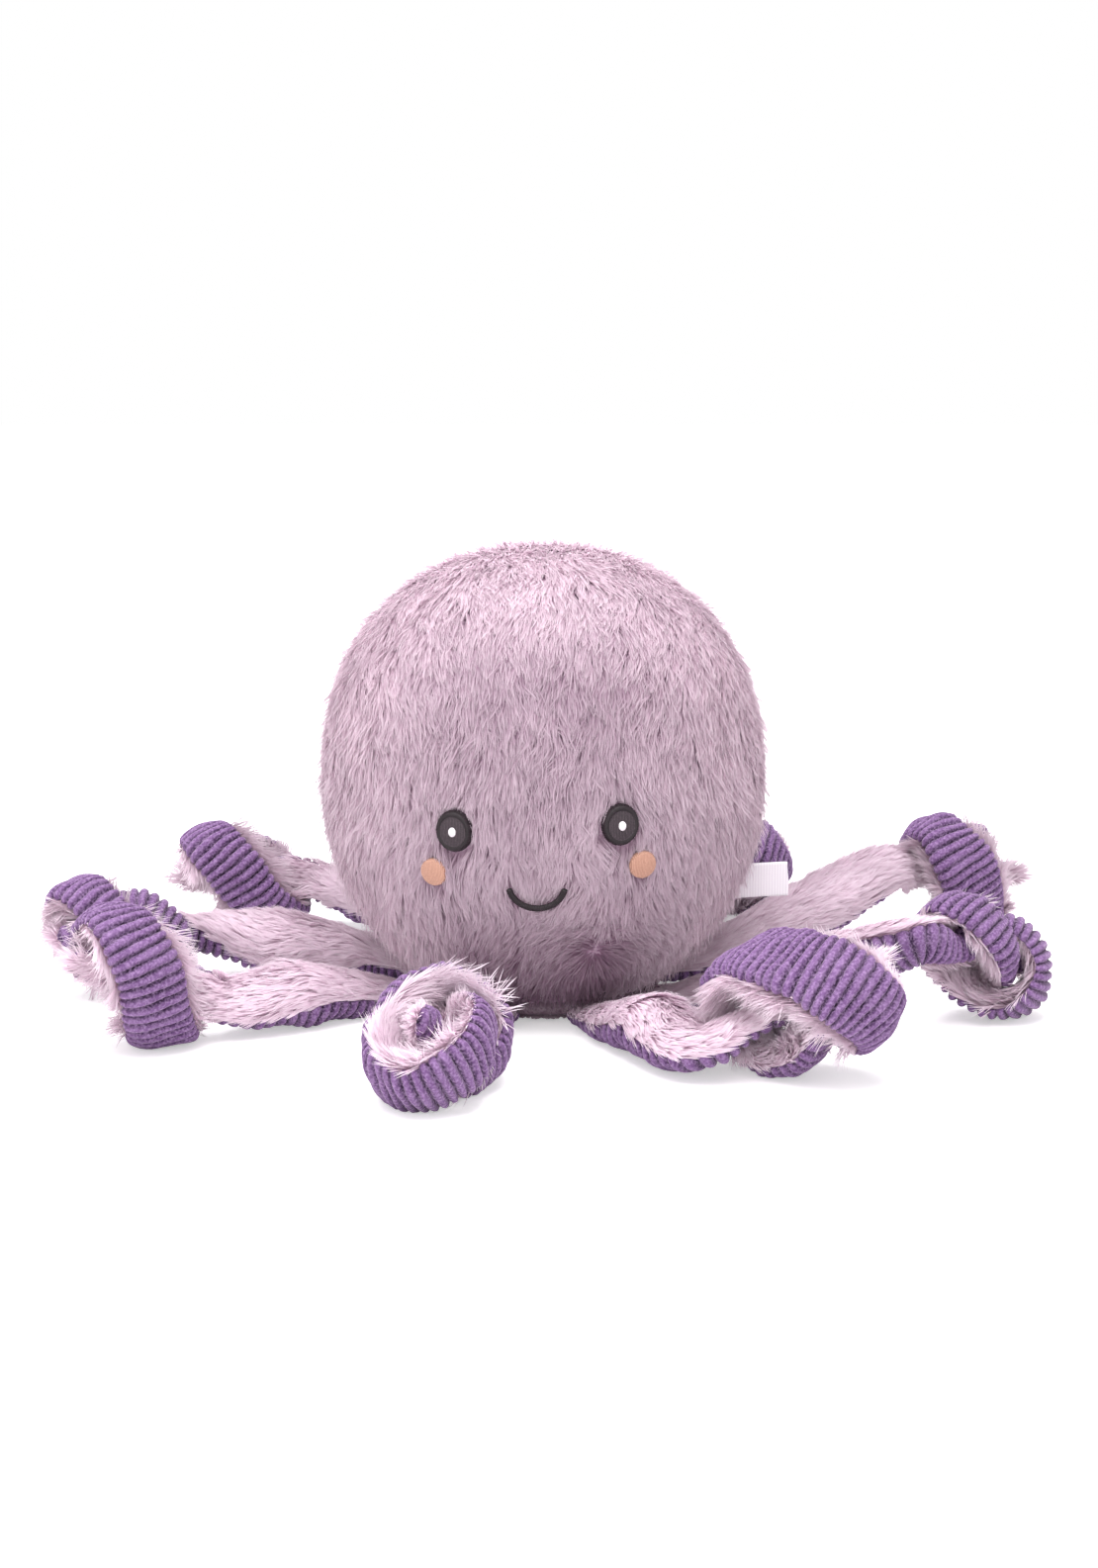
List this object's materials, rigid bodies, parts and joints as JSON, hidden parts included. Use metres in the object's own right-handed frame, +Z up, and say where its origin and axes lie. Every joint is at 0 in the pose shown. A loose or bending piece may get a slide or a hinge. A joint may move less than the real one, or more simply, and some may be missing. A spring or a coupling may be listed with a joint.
{
  "type": "plush octopus",
  "caption": "Soft toy octopus: a stuffed round plush head with a stitched face, resting on a flat base, with floppy plush and corduroy arms tied in knots around it.",
  "frame": {"origin": "on the floor, at the middle of the base panel's underside", "axes": "+Z up, and the face looks along -Y, so +X is on the viewer's right"},
  "size_m": [0.337, 0.2757, 0.152],
  "materials": {
    "head_plush": "long-pile knitted plush, pale lilac at the tips and dusky mauve at the roots",
    "arm_plush": "the same long-pile plush, pale pink-lilac, tufted where the arm folds",
    "corduroy": "wide-wale cut corduroy, violet, its ribs across the arm",
    "dark_thread": "satin stitch in charcoal thread",
    "peach_thread": "satin stitch in peach thread",
    "white_thread": "satin stitch in white thread",
    "label_ribbon": "blank white satin ribbon",
    "filling": "loose white polyester fibre"
  },
  "bodies": {
    "head": {"front_panel": "head_plush", "right_side_panel": "head_plush", "back_panel": "head_plush", "left_side_panel": "head_plush", "left_eye": "dark_thread", "left_eye_highlight": "white_thread", "left_cheek": "peach_thread", "right_eye": "dark_thread", "right_eye_highlight": "white_thread", "right_cheek": "peach_thread", "mouth": "dark_thread", "head_filling": "filling", "care_label": "label_ribbon", "base_panel": "head_plush"},
    "front_left_arm": {"front_left_arm_plush": "arm_plush", "front_left_arm_corduroy": "corduroy", "front_left_arm_filling": "filling"},
    "left_arm": {"left_arm_plush": "arm_plush", "left_arm_corduroy": "corduroy", "left_arm_filling": "filling"},
    "rear_left_arm": {"rear_left_arm_plush": "arm_plush", "rear_left_arm_corduroy": "corduroy", "rear_left_arm_filling": "filling"},
    "back_left_arm": {"back_left_arm_plush": "arm_plush", "back_left_arm_corduroy": "corduroy", "back_left_arm_filling": "filling"},
    "back_right_arm": {"back_right_arm_plush": "arm_plush", "back_right_arm_corduroy": "corduroy", "back_right_arm_filling": "filling"},
    "rear_right_arm": {"rear_right_arm_plush": "arm_plush", "rear_right_arm_corduroy": "corduroy", "rear_right_arm_filling": "filling"},
    "right_arm": {"right_arm_plush": "arm_plush", "right_arm_corduroy": "corduroy", "right_arm_filling": "filling"},
    "front_right_arm": {"front_right_arm_plush": "arm_plush", "front_right_arm_corduroy": "corduroy", "front_right_arm_filling": "filling"}
  },
  "joints": [
    {"name": "front_left_arm_lift", "type": "hinge", "parent": "head", "child": "front_left_arm", "pos_m": [-0.0158, -0.03816, 0.0036], "axis": [-0.9239, 0.3827, 0], "range_deg": [-60, 25]},
    {"name": "left_arm_lift", "type": "hinge", "parent": "head", "child": "left_arm", "pos_m": [-0.03816, -0.0158, 0.0036], "axis": [-0.3827, 0.9239, 0], "range_deg": [-60, 25]},
    {"name": "rear_left_arm_lift", "type": "hinge", "parent": "head", "child": "rear_left_arm", "pos_m": [-0.03816, 0.0158, 0.0036], "axis": [0.3827, 0.9239, 0], "range_deg": [-60, 25]},
    {"name": "back_left_arm_lift", "type": "hinge", "parent": "head", "child": "back_left_arm", "pos_m": [-0.0158, 0.03816, 0.0036], "axis": [0.9239, 0.3827, 0], "range_deg": [-60, 25]},
    {"name": "back_right_arm_lift", "type": "hinge", "parent": "head", "child": "back_right_arm", "pos_m": [0.0158, 0.03816, 0.0036], "axis": [0.9239, -0.3827, 0], "range_deg": [-60, 25]},
    {"name": "rear_right_arm_lift", "type": "hinge", "parent": "head", "child": "rear_right_arm", "pos_m": [0.03816, 0.0158, 0.0036], "axis": [0.3827, -0.9239, 0], "range_deg": [-60, 25]},
    {"name": "right_arm_lift", "type": "hinge", "parent": "head", "child": "right_arm", "pos_m": [0.03816, -0.0158, 0.0036], "axis": [-0.3827, -0.9239, 0], "range_deg": [-60, 25]},
    {"name": "front_right_arm_lift", "type": "hinge", "parent": "head", "child": "front_right_arm", "pos_m": [0.0158, -0.03816, 0.0036], "axis": [-0.9239, -0.3827, 0], "range_deg": [-60, 25]}
  ]
}
